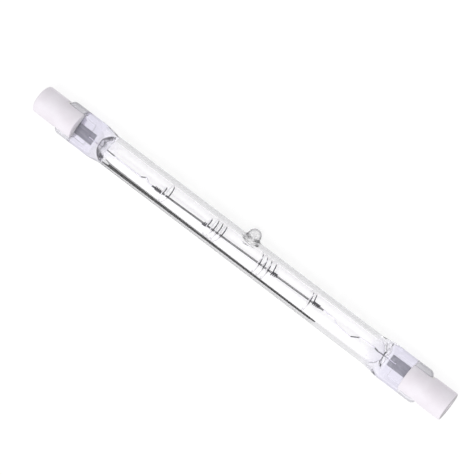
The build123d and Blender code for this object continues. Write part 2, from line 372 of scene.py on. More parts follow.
# %% Quartz
quartz, shader = new_material("clear_quartz", IOR=QUARTZ_IOR)
distance = distance_along(quartz)
in_seal = ranged(quartz, distance, *SEAL_TINT)
out_of_cap = ranged(quartz, distance, *CAP_STARTS, 1.0, CLEAR_IN_CAP)
edge_shade_share = ranged(quartz, distance, *EDGE_SHADE_FADES, 1.0, EDGE_SHADE_IN_SEAL)
at_drop = clear_round_drop(quartz)
# Painted shade: the quartz's colour turns grey where the eye looks along the wall, and less
# so in the seals.
along_wall = add_node(quartz, "ShaderNodeLayerWeight", Blend=0.5).outputs["Facing"]
edge = between(quartz, along_wall, (1, 1, 1), QUARTZ_EDGE_PAINTED_SHADE, *EDGE_SHADE_STARTS)
seal_share = computed(quartz, "MULTIPLY", in_seal, out_of_cap)
tint = mixed(quartz, seal_share, QUARTZ_CLEAR, QUARTZ_SEAL)
clear = computed(quartz, "MULTIPLY_ADD", in_seal, -SEAL_HAZE, 1.0)
for factor in (out_of_cap, at_drop):
    clear = computed(quartz, "MULTIPLY", clear, factor)
feed_named(
    quartz, shader,
    Base_Color=mixed(quartz, edge_shade_share, tint, edge, "MULTIPLY"),
    Roughness=soft_round_drop(quartz, at_drop),
    Transmission_Weight=clear,
)

bore_quartz, shader = new_material(
    "bore_quartz", IOR=QUARTZ_IOR, Base_Color=(*QUARTZ_CLEAR, 1)
)
at_drop = clear_round_drop(bore_quartz)
distance = distance_along(bore_quartz)
at_fold = ranged(bore_quartz, distance, *BORE_FOLD, 0.0, FOLD_ROUGHNESS)
softness = computed(bore_quartz, "ADD", soft_round_drop(bore_quartz, at_drop), at_fold)
feed_named(bore_quartz, shader, Roughness=softness, Transmission_Weight=at_drop)
print("quartz bends light by", QUARTZ_IOR)

# %% [markdown]
# ## Metals
# The filament is tungsten, dull and dark. The leads are drawn wire and brighter. The
# sealing foils are thin molybdenum with a rolled grain along them, and the contacts are
# turned nickel. In the picture each support shows only as the strokes of its half that is
# far from the eye, and each lead as a few short dashes. On the real lamp these are most
# likely reflections, which can't be set up that exactly from one picture. So they are
# painted reflections: the support wire is painted dark on its far half and bright on its
# near half, and two stretches of each lead are painted dark. The colour follows the place
# on the piece, not the eye.

# %% Metals
tungsten, *_ = grained(
    "tungsten", (4000, 2.0), ((0.045, 0.043, 0.055), (0.10, 0.095, 0.115)), (0.3, 0.5),
    Metallic=1.0,
)

# Painted reflection: the support wire turns bright on its near half, along each of these
# directions between the two distances in metres, and stays dark on its far half.
SUPPORT_PAINTED_REFLECTION = (0.92, 0.91, 0.94)
PAINTED_REFLECTION_FROM = [
    (DIRECTION_W, 0.0004, 0.0011),
    (-DIRECTION_V, 0.0007, 0.0014),
    (DIRECTION_V, 0.0019, 0.0023),
]
support_wire, shader, _, dark = grained(
    "support_wire", (4000, 2.0), ((0.030, 0.028, 0.040), (0.075, 0.070, 0.090)),
    (0.3, 0.45), Metallic=1.0,
)
share = 0.0
for direction, start, end in PAINTED_REFLECTION_FROM:
    reach = measured(support_wire, "DOT_PRODUCT", direction)
    painted_reflection_side = ranged(support_wire, reach, start, end)
    share = computed(support_wire, "MAXIMUM", share, painted_reflection_side)
colour = mixed(support_wire, share, dark, SUPPORT_PAINTED_REFLECTION)
feed_named(support_wire, shader, Base_Color=colour)

# Painted reflection: these stretches of each lead, from one x to another in metres, are
# painted dark.
LEAD_PAINTED_DARK_REFLECTION = (0.10, 0.095, 0.115)
LEAD_PAINTED_DARK_STRETCHES = [
    (-0.0397, -0.0364), (-0.0283, -0.0272), (0.0323, 0.0341), (0.0385, 0.0408)
]
lead_wire, shader, _, bright = grained(
    "lead_wire", (3000, 2.0, (0.2, 1.0, 1.0)),
    ((0.70, 0.685, 0.75), (0.82, 0.805, 0.865)), (0.15, 0.35), Metallic=1.0,
)
along = measured(lead_wire, "DOT_PRODUCT", LAMP_AXES[0])
share = 0.0
for start, end in LEAD_PAINTED_DARK_STRETCHES:
    middle, half = (start + end) / 2, (end - start) / 2
    within = computed(lead_wire, "COMPARE", along, middle, half)
    share = computed(lead_wire, "ADD", share, within)
feed_named(lead_wire, shader, Base_Color=mixed(lead_wire, share, bright, LEAD_PAINTED_DARK_REFLECTION))

foil_metal, shader, grain, _ = grained(
    "sealing_foil", (2500, 4.0, (0.12, 1.0, 1.0)),
    ((0.26, 0.26, 0.285), (0.37, 0.37, 0.40)), (0.35, 0.6), Metallic=1.0,
)
bump(foil_metal, shader, grain, 0.00002, 0.5)

contact_metal, *_ = grained(
    "contact_metal", (3500, 2.0), ((0.58, 0.56, 0.52), (0.76, 0.74, 0.70)), (0.22, 0.4),
    Metallic=1.0,
)
metals = (tungsten, support_wire, lead_wire, foil_metal, contact_metal)
print("metals:", [metal.name for metal in metals])

# %% [markdown]
# ## Ceramic and cement
# The caps are steatite, an unglazed ceramic with a fine tooth and a slight pink cast.
# Their outer end faces carry painted shade, a greyer tone than the barrel, because in the
# picture the one that shows is a dark crescent. The cement in their slots is rougher and
# greyer.

# %% Ceramic and cement
# Painted shade: the outer end face is greyer than the barrel.
CAP_END_PAINTED_SHADE = (0.50, 0.48, 0.50)
CAP_END_SHADE_STARTS = (0.05866, 0.0588)

ceramic, shader = new_material("cap_ceramic", Specular_IOR_Level=0.35)
mottle = object_noise(ceramic, 260, 4.0)
barrel = between(ceramic, mottle, (0.86, 0.81, 0.87), (0.92, 0.88, 0.94))
painted_end_shade = ranged(ceramic, distance_along(ceramic), *CAP_END_SHADE_STARTS)
tooth = object_noise(ceramic, 5200, 3.0)
feed_named(
    ceramic, shader,
    Base_Color=mixed(ceramic, painted_end_shade, barrel, CAP_END_PAINTED_SHADE),
    Roughness=ranged(ceramic, tooth, 0.0, 1.0, 0.42, 0.6),
)
bump(ceramic, shader, tooth, 0.00003, 0.35)

cement, shader, lumps, _ = grained(
    "cap_cement", (1800, 6.0), ((0.84, 0.82, 0.82), (0.93, 0.92, 0.92)), (0.75, 0.95),
    Specular_IOR_Level=0.2,
)
bump(cement, shader, lumps, 0.00012, 0.8)
print("ceramics:", ceramic.name, cement.name)

# %% [markdown]
# ## The outside of the quartz
# On the bench the tube's ends are heated until they are soft, and jaws press them flat.
# So the outside is one surface that runs from a circle to a flat oval with round sides.
# It could be a tube with two boxes welded on, but then the shoulders would be missing,
# and they are what makes the glass catch the light. Here one formula gives every section:
# two round sides joined by straight stretches, which is a circle when its width equals
# its thickness. The jaws also leave a sunken flat between two thicker beads, and a
# slightly rippled face.

# %% Sections of the quartz
AROUND = 192
FLAT_HALF_WIDTH = 3.4
FLAT_DEPTH = 0.4
FLAT_START_X = 43.3
FLAT_SLOPE = 0.9
PLAN_CORNER = 1.4
END_ROUNDING = 0.4
RIPPLE = 0.022
RIPPLE_START_X = TUBE_END_X + 1
RIPPLE_RISE = 3


def smooth(x):
    """A soft step from 0 to 1 as x goes from 0 to 1: three x squared less two x cubed."""
    x = np.clip(x, 0, 1)
    return x * x * (3 - 2 * x)


def oval(half_width, half_thickness, columns):
    """Points round an oval with round sides and straight flats, at even steps along it.

    Each quarter is first an arc of the half thickness, then a straight stretch, and the
    share of the arc is its length over the quarter's length.
    """
    turn = 4 * np.arange(columns) / columns
    quarter = np.floor(turn).astype(int) % 4
    share = turn - np.floor(turn)
    share = np.where(quarter % 2 == 0, share, 1 - share)
    arc = math.pi / 2 * half_thickness
    straight = half_width - half_thickness
    arc_share = arc / (arc + straight)
    angle = math.pi / 2 * np.minimum(share / arc_share, 1)
    past = np.clip((share - arc_share) / np.maximum(1 - arc_share, 1e-9), 0, 1)
    v = straight * (1 - past) + half_thickness * np.cos(angle)
    w = half_thickness * np.sin(angle)
    v = np.where((quarter == 1) | (quarter == 2), -v, v)
    w = np.where(quarter >= 2, -w, w)
    return v, w


def outline_sizes(distance_x):
    """Half width and half thickness of the quartz, this far from the lamp's middle."""
    press = smooth((distance_x - TUBE_END_X) / (PINCH_INNER_X - TUBE_END_X))
    half_width = TUBE_RADIUS - SKIN + (PINCH_HALF_WIDTH - TUBE_RADIUS) * press
    half_thickness = TUBE_RADIUS - SKIN + (PINCH_HALF_THICKNESS - TUBE_RADIUS) * press
    past = np.clip(distance_x - (PINCH_OUTER_X - PLAN_CORNER), 0, PLAN_CORNER)
    half_width = half_width - PLAN_CORNER + np.sqrt(PLAN_CORNER**2 - past**2)
    past = np.clip(distance_x - (PINCH_OUTER_X - END_ROUNDING), 0, END_ROUNDING)
    half_thickness = half_thickness - END_ROUNDING + np.sqrt(END_ROUNDING**2 - past**2)
    return half_width, half_thickness


def quartz_rings(stations):
    """The outside at each station: the oval, less the sunken flat, plus the press ripple.

    The ripple is two slow waves that cross, and grows with the pressing.
    """
    distance_x = np.abs(stations)[:, None]
    half_width, half_thickness = outline_sizes(distance_x)
    v, w = oval(half_width, half_thickness, AROUND)
    sunk = smooth((distance_x - FLAT_START_X) / FLAT_SLOPE)
    sunk = sunk * smooth((FLAT_HALF_WIDTH - np.abs(v)) / FLAT_SLOPE)
    w = w - np.sign(w) * FLAT_DEPTH * sunk
    pressed = smooth((distance_x - RIPPLE_START_X) / RIPPLE_RISE)
    pressed = pressed * np.abs(w) / TUBE_RADIUS
    x = stations[:, None]
    waves = np.sin(1.9 * x + 0.8 * v) + 0.7 * np.sin(3.1 * x - 1.7 * v + 1.3)
    w = w + np.sign(w) * RIPPLE * pressed * waves
    return np.stack([np.broadcast_to(x, v.shape), v, w], axis=-1)


# %% [markdown]
# ## The drop on the side
# The lamp was pumped out and filled through a thin quartz pipe on its side, and the pipe
# was melted off. What is left is a drop on a flared neck, with the pipe's closed end as a
# small funnel inside. A ball pushed into the tube would leave a hard crease and glass
# inside glass, which light shows at once. So the tube's grid gets a window, and rings of
# points fill it: they start at the top of the drop, run down its side, spread over the
# tube in the flare, and the last ring lies on the window's own points.

# %% The drop's profile and the funnel's
NECK_FLARE = 1.55
NECK_FALL = 0.75
FUNNEL_ROUND = 0.28
FUNNEL_ROUND_V = 4.58
FUNNEL_CONE = 0.45
FUNNEL_FLARE = 0.3
FUNNEL_FALL = 1.95


def drop_profile(t):
    """Distance from the drop's middle line and height: a quarter circle, then a flare.

    t from 0 to 1 is the round end, and from 1 to 2 the neck, which swings to the wall.
    """
    round_end = np.minimum(t, 1) * math.pi / 2
    radius = DROP_RADIUS - SKIN
    out = radius * np.sin(round_end)
    up = DROP_TOP_V - DROP_RADIUS + radius * np.cos(round_end)
    swing = np.clip(t - 1, 0, 1) * math.pi / 2
    out = out + NECK_FLARE * (1 - np.cos(swing))
    up = up - NECK_FALL * np.sin(swing)
    return out, up


def funnel_profile(t):
    """The funnel inside: a small round end, a widening cone, and a flare to the bore.

    t from 0 to 0.5 is the round end, and from 0.5 to 2 the cone with its flare.
    """
    round_end = np.minimum(t, 0.5) * math.pi
    out = FUNNEL_ROUND * np.sin(round_end)
    up = FUNNEL_ROUND_V + FUNNEL_ROUND * np.cos(round_end)
    cone = np.clip((t - 0.5) / 1.5, 0, 1)
    out = out + FUNNEL_CONE * cone + FUNNEL_FLARE * cone**4
    up = up - FUNNEL_FALL * cone
    return out, up


# %% Rings that fill a window in the tube's grid
def window_fill(border, radius, profile, steps, spread_steps):
    """Rings from the middle of a window out towards its border points.

    Inside, a ring is a circle of the profile. Its height is the profile's at first, and
    turns into the height of the tube's wall. Outside the profile's end, the rings change
    from a circle to the border's own outline, and lie on the wall.
    """
    dx = border[:, 0] - DROP_X
    dw = border[:, 2]
    reach = np.hypot(dx, dw)
    t = np.linspace(0, 2, steps + 1)[1:]
    out, up = profile(t)
    x = out[:, None] * dx / reach
    w = out[:, None] * dw / reach
    wall = np.sqrt(radius**2 - w**2)
    own = 1 - smooth(t - 1)[:, None]
    v = own * up[:, None] + (1 - own) * wall
    share = (np.arange(spread_steps) + 1)[:, None] / (spread_steps + 1)
    far_x = x[-1] * (1 - share) + dx * share
    far_w = w[-1] * (1 - share) + dw * share
    far_v = np.sqrt(radius**2 - far_w**2)
    x, v, w = (np.vstack(pair) for pair in ((x, far_x), (v, far_v), (w, far_w)))
    return np.stack([x + DROP_X, v, w], axis=-1)


def used_only(shell):
    """The shell without the points that no face uses, such as those inside a window."""
    points, quads, triangles = shell
    used = np.unique(np.concatenate([quads.ravel(), triangles.ravel()]))
    number = np.zeros(len(points), int)
    number[used] = np.arange(len(used))
    return points[used], number[quads], number[triangles]


def same_way(quads, border):
    """Whether a quad left round a window runs along its border as the border does."""
    ahead = np.vstack([quads[:, [k, (k + 1) % 4]] for k in range(4)])
    first = (ahead[:, 0] == border[0]) & (ahead[:, 1] == border[1])
    return bool(first.any())


def windowed_shell(rings, rows, columns, radius, profile, steps, spread_steps):
    """A closed shell with a window in it that the rings of a profile fill.

    The window lies between two rows of the grid, and so many columns to each side of v.
    """
    count, around, _ = rings.shape
    points, quads, triangles = closed_rings(rings)
    row_number = np.repeat(np.arange(count - 1), around)
    column_number = np.tile(np.arange(around), count - 1)
    turned = (column_number + around // 2) % around - around // 2
    inside = (row_number >= rows[0]) & (row_number < rows[1])
    inside &= (turned >= -columns) & (turned < columns)
    quads = quads[~inside]
    across = np.arange(-columns, columns)
    down = np.arange(rows[0], rows[1])
    border = np.concatenate([
        rows[0] * around + across % around,
        down * around + columns,
        rows[1] * around + (-across) % around,
        down[::-1] * around + around + (-columns) % around,
    ])
    fill = window_fill(points[border], radius, profile, steps, spread_steps)
    fill_rows, fill_columns, _ = fill.shape
    start = len(points)
    top_v = profile(np.array([0.0]))[1][0]
    points = np.vstack([points, fill.reshape(-1, 3), [DROP_X, top_v, 0]])
    fill_quads = ring_quads(fill_rows, fill_columns) + start
    here = np.arange(fill_columns)
    beside = (here + 1) % fill_columns
    last = start + (fill_rows - 1) * fill_columns
    hem = np.stack([last + here, last + beside, border[beside], border[here]], axis=-1)
    top = np.full(fill_columns, len(points) - 1)
    fan = np.stack([start + beside, start + here, top], axis=-1)
    sides = np.vstack([fill_quads, hem])
    if not same_way(quads, border):
        sides, fan = sides[:, ::-1], fan[:, ::-1]
    return used_only((points, np.vstack([quads, sides]), np.vstack([triangles, fan])))


# %% Both surfaces of the quartz
WINDOW_HALF_LENGTH = 4.6
FLAT_REACHED_X = 44.4
DROP_WINDOW_DEGREES = 54
end_stations = np.concatenate([
    np.linspace(TUBE_END_X, PINCH_INNER_X, 36)[:-1],
    np.linspace(PINCH_INNER_X, FLAT_REACHED_X, 16)[:-1],
    np.linspace(FLAT_REACHED_X, PINCH_OUTER_X - PLAN_CORNER, 24)[:-1],
    PINCH_OUTER_X - PLAN_CORNER + PLAN_CORNER * np.sin(np.linspace(0, math.pi / 2, 16)),
])
window_stations = DROP_X + np.linspace(-WINDOW_HALF_LENGTH, WINDOW_HALF_LENGTH, 29)
left_tube = np.linspace(-TUBE_END_X, window_stations[0], 14)[1:-1]
right_tube = np.linspace(window_stations[-1], TUBE_END_X, 14)[1:-1]
outside_stations = np.concatenate(
    [-end_stations[::-1], left_tube, window_stations, right_tube, end_stations]
)
first_row = len(end_stations) + len(left_tube)
outside = windowed_shell(
    quartz_rings(outside_stations),
    rows=(first_row, first_row + len(window_stations) - 1),
    columns=AROUND * DROP_WINDOW_DEGREES // 360,
    radius=TUBE_RADIUS - SKIN,
    profile=drop_profile,
    steps=34,
    spread_steps=6,
)
print("rings along the quartz:", len(outside_stations))

# %% [markdown]
# ## The hollow inside
# The bore is round along the tube. The jaws squeeze each of its ends to a wedge. Seen
# from above, the wedge's outline is a little fuller than a half round, and it shows in
# the picture as a dark arc across the shoulder. The hollow is a shell of its own with its
# faces turned inwards, so that light crosses first the outside and then the bore, as in
# the real wall.

# %% The bore and its squeezed ends
BORE_END_HALF_THICKNESS = 0.3
BORE_END_FULLNESS = 2.5
FUNNEL_WINDOW_DEGREES = 45
FUNNEL_WINDOW_SHORTER = 6


def bore_rings(stations):
    """A circle along the tube, then ellipses whose width falls to nothing in a full arc.

    With s the share of the way to the end and f the fullness, the width is the bore's
    times (1 - s^f)^(1/f). The thickness falls in a straight line to the end's own.
    """
    past = np.clip(np.abs(stations) - TUBE_END_X, 0, BORE_RADIUS)[:, None]
    share = np.minimum(past / BORE_RADIUS, 1)
    left_over = np.maximum(1 - share**BORE_END_FULLNESS, 1e-7)
    half_width = BORE_RADIUS * left_over ** (1 / BORE_END_FULLNESS)
    half_thickness = BORE_RADIUS + (BORE_END_HALF_THICKNESS - BORE_RADIUS) * share
    angle = round_angles(AROUND)
    v = half_width * np.cos(angle)
    w = np.minimum(half_thickness, half_width) * np.sin(angle)
    return np.stack([np.broadcast_to(stations[:, None], v.shape), v, w], axis=-1)


bore_ends = TUBE_END_X + BORE_RADIUS * np.sin(np.linspace(0, math.pi / 2, 26))
bore_stations = np.concatenate(
    [-bore_ends[::-1], left_tube, window_stations, right_tube, bore_ends]
)
first_row = len(bore_ends) + len(left_tube)
hollow = windowed_shell(
    bore_rings(bore_stations),
    rows=(
        first_row + FUNNEL_WINDOW_SHORTER,
        first_row + len(window_stations) - 1 - FUNNEL_WINDOW_SHORTER,
    ),
    columns=AROUND * FUNNEL_WINDOW_DEGREES // 360,
    radius=BORE_RADIUS,
    profile=funnel_profile,
    steps=26,
    spread_steps=3,
)
make_piece(
    "quartz_tube",
    joined([facing(outside), facing(hollow, outwards=False)]),
    quartz,
    "quartz",
    "quartz_envelope",
    inner=bore_quartz,
    inner_quads=len(hollow[1]),
)

# %% [markdown]
# ## Wires
# The filament, its supports and the leads are all wires: a round section carried along a
# path. The section needs a steady sideways direction at each point of the path, or it
# would twist. A fixed direction works where the path never runs along it: w for the
# leads, which run along the lamp, and x for the supports, which go round it.


# %% A wire along a path
def wire(path, radius, sides, reference):
    """Rings of even points round each point of the path.

    The first sideways direction is the reference less its share along the path, and the
    second is square to both.
    """
    tangent = np.gradient(path, axis=0)
    tangent /= np.linalg.norm(tangent, axis=1, keepdims=True)
    reference = np.broadcast_to(np.asarray(reference, float), path.shape)
    along = np.einsum("ij,ij->i", reference, tangent)[:, None]
    side = reference - along * tangent
    side /= np.linalg.norm(side, axis=1, keepdims=True)
    other = np.cross(tangent, side)
    angle = round_angles(sides)[:, None]
    radius = np.broadcast_to(radius, len(path))[:, None, None]
    round_it = np.cos(angle) * side[:, None] + np.sin(angle) * other[:, None]
    return facing(closed_rings(path[:, None] + radius * round_it))


def even_path(corners, step):
    """Points at even steps along the straight runs between the corners."""
    runs = np.linalg.norm(np.diff(corners, axis=0), axis=1)
    reached = np.concatenate([[0], np.cumsum(runs)])
    marks = np.linspace(0, reached[-1], int(reached[-1] / step) + 1)
    return np.stack([np.interp(marks, reached, corners[:, k]) for k in range(3)], axis=-1)


def softened(path, window):
    """Each point becomes the average of the points near it, which rounds every corner."""
    half = window // 2
    ends = [np.repeat(path[:1], half, axis=0), path, np.repeat(path[-1:], half, axis=0)]
    padded = np.vstack(ends)
    weights = np.ones(window) / window
    columns = [np.convolve(padded[:, k], weights, mode="valid") for k in range(3)]
    return np.stack(columns, axis=-1)


# %% [markdown]
# ## The filament
# A close coil of thin tungsten wire, nearly as long as the straight tube and a little
# askew in it. From a distance it is a grey line, and near by its separate turns show. A
# plain rod with a striped picture on it would not shine like turns of wire, so the helix
# is real: a point goes round the coil's own line while it moves along it.

# %% The filament's line and its coil
FILAMENT_LEFT = np.array([-24.9, -0.68, -0.128])
FILAMENT_RIGHT = np.array([24.0, 0.36, -0.128])
COIL_RADIUS = 0.25
COIL_WIRE_RADIUS = 0.06
COIL_PITCH = 0.165
STEPS_PER_TURN = 16
COIL_WIRE_SIDES = 5

filament_run = FILAMENT_RIGHT - FILAMENT_LEFT
filament_length = float(np.linalg.norm(filament_run))
filament_along = filament_run / filament_length
filament_side = np.cross(filament_along, [0, 0, 1.0])
filament_side /= np.linalg.norm(filament_side)
filament_other = np.cross(filament_along, filament_side)


def filament_point(x):
    """The point of the filament's line at a place along the lamp."""
    share = (np.asarray(x, float) - FILAMENT_LEFT[0]) / filament_run[0]
    return FILAMENT_LEFT + share[..., None] * filament_run


turns = round(filament_length / COIL_PITCH)
sweep = np.linspace(0, 2 * math.pi * turns, turns * STEPS_PER_TURN + 1)[:, None]
middle = FILAMENT_LEFT + filament_along * filament_length * sweep / sweep[-1]
round_radius = COIL_RADIUS - COIL_WIRE_RADIUS
outwards = np.cos(sweep) * filament_side + np.sin(sweep) * filament_other
coil_path = middle + round_radius * outwards
coil = wire(coil_path, COIL_WIRE_RADIUS, COIL_WIRE_SIDES, outwards)
make_piece("filament_coil", coil, tungsten, "tungsten", "filament")
print("turns in the coil:", turns)

# %% [markdown]
# ## The supports
# Four wires keep the hot coil away from the quartz. Each is wound on the coil for a few
# open turns, leaves it in a leg, and ends in wide turns that almost touch the wall. One
# formula covers all three: the turn's radius and its middle line pass softly from the
# coil's to the tube's while the wire goes on round. The two supports near the tube's ends
# have about one wide turn, and the two inner ones about three. A support is five numbers:
# where its open turns start and end, where its wide turns end, how many those are, and
# the angle at which the first turn starts, as a share of a turn.

# %% Supports
SUPPORT_WIRE_RADIUS = 0.13
WRAP_GAP = 0.01
LOOP_GAP = 0.05
WRAP_RADIUS = COIL_RADIUS + SUPPORT_WIRE_RADIUS + WRAP_GAP
LOOP_RADIUS = BORE_RADIUS - LOOP_GAP - SUPPORT_WIRE_RADIUS
WRAP_PITCH = 0.44
LEG_TURNS = 0.3
LEG_ADVANCE = 0.45
LEG_SOFTNESS = 0.05
SUPPORT_STEPS_PER_TURN = 48
SUPPORT_WIRE_SIDES = 10
supports = {
    "support_end_left": (-24.0, -21.8, -20.3, 1.1, 0.9),
    "support_mid_left": (-10.0, -8.9, -4.8, 3.1, 0.35),
    "support_mid_right": (10.9, 9.6, 5.2, 3.16, 0.59),
    "support_end_right": (22.9, 21.1, 19.6, 1.1, 0.6),
}


def support_path(wrap_start, wrap_end, loops_end, loop_turns, first_turn):
    """The wire's middle line: open turns on the coil, a leg, and wide turns."""
    way = math.copysign(1, loops_end - wrap_start)
    wrap_turns = abs(wrap_end - wrap_start) / WRAP_PITCH
    loops_start = wrap_end + way * LEG_ADVANCE
    turned = np.array([0, wrap_turns, wrap_turns + LEG_TURNS])
    turned = np.append(turned, turned[-1] + loop_turns)
    turn = np.linspace(0, turned[-1], int(turned[-1] * SUPPORT_STEPS_PER_TURN))
    x = np.interp(turn, turned, [wrap_start, wrap_end, loops_start, loops_end])
    opening = turn - wrap_turns + LEG_SOFTNESS
    open_out = smooth(opening / (LEG_TURNS + 2 * LEG_SOFTNESS))
    radius = WRAP_RADIUS + (LOOP_RADIUS - WRAP_RADIUS) * open_out
    centre = filament_point(x) * (1 - open_out[:, None])
    angle = 2 * math.pi * (turn + first_turn)
    v = centre[:, 1] + radius * np.cos(angle)
    w = centre[:, 2] + radius * np.sin(angle)
    return np.stack([x, v, w], axis=-1)


for name, sizes in supports.items():
    path = support_path(*sizes)
    shell = wire(path, SUPPORT_WIRE_RADIUS, SUPPORT_WIRE_SIDES, (1.0, 0.0, 0.0))
    make_piece(name + "_wire", shell, support_wire, "tungsten", name)

# %% [markdown]
# ## The inner leads
# A lead is welded to the foil in the seal, crosses the shoulder and pushes into the end
# of the coil. Each has a few kinks, bent by hand so that it springs against the coil. A
# lead is drawn by its corners, as pairs of x and v. They are rounded by averaging the
# path over a short window.

# %% Inner leads with their kinks
LEAD_RADIUS = 0.14
LEAD_W = -0.128
LEAD_STEP = 0.04
LEAD_CORNER_STEPS = 9
LEAD_SIDES = 14
leads = {
    "inner_lead_left": [
        (-43.9, -0.4), (-28.2, -0.55), (-27.0, 0.1), (-25.8, -0.66), (-25.3, -0.6885),
        (-22.9, -0.6375),
    ],
    "inner_lead_right": [
        (43.9, 0.65), (34.3, 0.5), (32.2, -0.74), (28.3, -0.42), (27.2, 0.28),
        (24.4, 0.3685), (22.0, 0.3175),
    ],
}

for name, corners in leads.items():
    corners = np.array([(x, v, LEAD_W) for x, v in corners])
    path = softened(even_path(corners, LEAD_STEP), LEAD_CORNER_STEPS)
    shell = wire(path, LEAD_RADIUS, LEAD_SIDES, (0.0, 0.0, 1.0))
    make_piece(name + "_wire", shell, lead_wire, "lead_wire", name)

# %% [markdown]
# ## The sealing foils
# A foil is so thin that the quartz can grip it as it cools without cracking. Its long
# edges are etched to a taper. Pressing leaves it faintly wavy, and the weld of the inner
# lead dents it. It is a flat grid bent by two slow waves, with an upper and a lower face.

# %% Foils
FOIL_HALF_WIDTH = 1.4
FOIL_HALF_THICKNESS = 0.025
FOIL_EDGE = 0.3
FOIL_INNER_X = 42.4
FOIL_OUTER_X = 51.3
FOIL_W = -0.265
FOIL_WAVE = 0.012
FOIL_THINNEST = 0.04
FOIL_STATIONS = 80
FOIL_ACROSS = 33
foil_offsets = {"left": -0.4, "right": 0.65}


def foil_shell(side, offset):
    """Rings round the strip at each station: out along the top and back along the bottom.

    The wave is the sum of two sines that run slantwise over the foil.
    """
    x = side * np.linspace(FOIL_INNER_X, FOIL_OUTER_X, FOIL_STATIONS)[:, None]
    out = np.linspace(-1, 1, FOIL_ACROSS)
    across = np.concatenate([out, out[::-1][1:-1]])
    upper = np.concatenate([np.ones(FOIL_ACROSS), -np.ones(FOIL_ACROSS - 2)])
    v = FOIL_HALF_WIDTH * across[None, :]
    taper = np.clip((FOIL_HALF_WIDTH - np.abs(v)) / FOIL_EDGE, FOIL_THINNEST, 1)
    wave = np.sin(1.7 * x + 1.1 * v) + 0.6 * np.sin(4.3 * x - 2.3 * v)
    w = FOIL_W + FOIL_WAVE * wave + upper * FOIL_HALF_THICKNESS * taper
    x, v = np.broadcast_to(x, w.shape), np.broadcast_to(v + offset, w.shape)
    return closed_rings(np.stack([x, v, w], axis=-1))


for end, side in ENDS.items():
    shell = facing(foil_shell(side, foil_offsets[end]))
    make_piece("sealing_foil_" + end, shell, foil_metal, "foil", "seal_foil_" + end)

# %% [markdown]
# ## The ceramic caps
# A cap is a round steatite body pressed from powder. A slot across its inner half holds
# the seal, and a recess in its outer end holds the contact. Cutting the slot out of a
# cylinder with a boolean leaves ragged faces that shade badly at the rim. Here the
# outline of the slot falls on columns of the grid instead: the round wall, the two
# half-moon end faces, the slot's walls and its floor are all strips between columns that
# face each other across it.

# %% Cap measures
CAP_RADIUS = 3.55
CAP_INNER_X = 47.5
SLOT_FLOOR_X = 52.8
SLOT_HALF = 1.55
RECESS_RADIUS = 1.8
CONTACT_X = 57.1
BUTTON_RADIUS = 1.6
POCKET_FLOOR_X = 56.3
OUTER_ROUNDING = 0.38
INNER_ROUNDING = 0.18
MOUTH_ROUNDING = 0.12
SEAT_RADIUS = 1.7
SLEEVE_RADIUS = 0.8
CAP_COLUMNS = 128
SLOT_STEPS = 25


def cap_columns():
    """Angles round the cap, even in each stretch, with one column on each slot edge."""
    edge = math.asin(SLOT_HALF / CAP_RADIUS)
    slot_count = int(round(CAP_COLUMNS * 2 * edge / (2 * math.pi) / 2) * 2)
    wall_count = CAP_COLUMNS // 2 - slot_count
    slot = np.linspace(-edge, edge, slot_count + 1)
    wall = np.linspace(edge, math.pi - edge, wall_count + 1)
    half = np.concatenate([slot[:-1], wall[:-1]])
    return np.concatenate([half, half + math.pi]), slot_count, wall_count


# %% The cap's shell
def strip_rows(first, second, count):
    """Straight rows of points from each point of one line to its partner on the other."""
    share = np.linspace(0, 1, count)[None, :, None]
    return first[:, None] * (1 - share) + second[:, None] * share


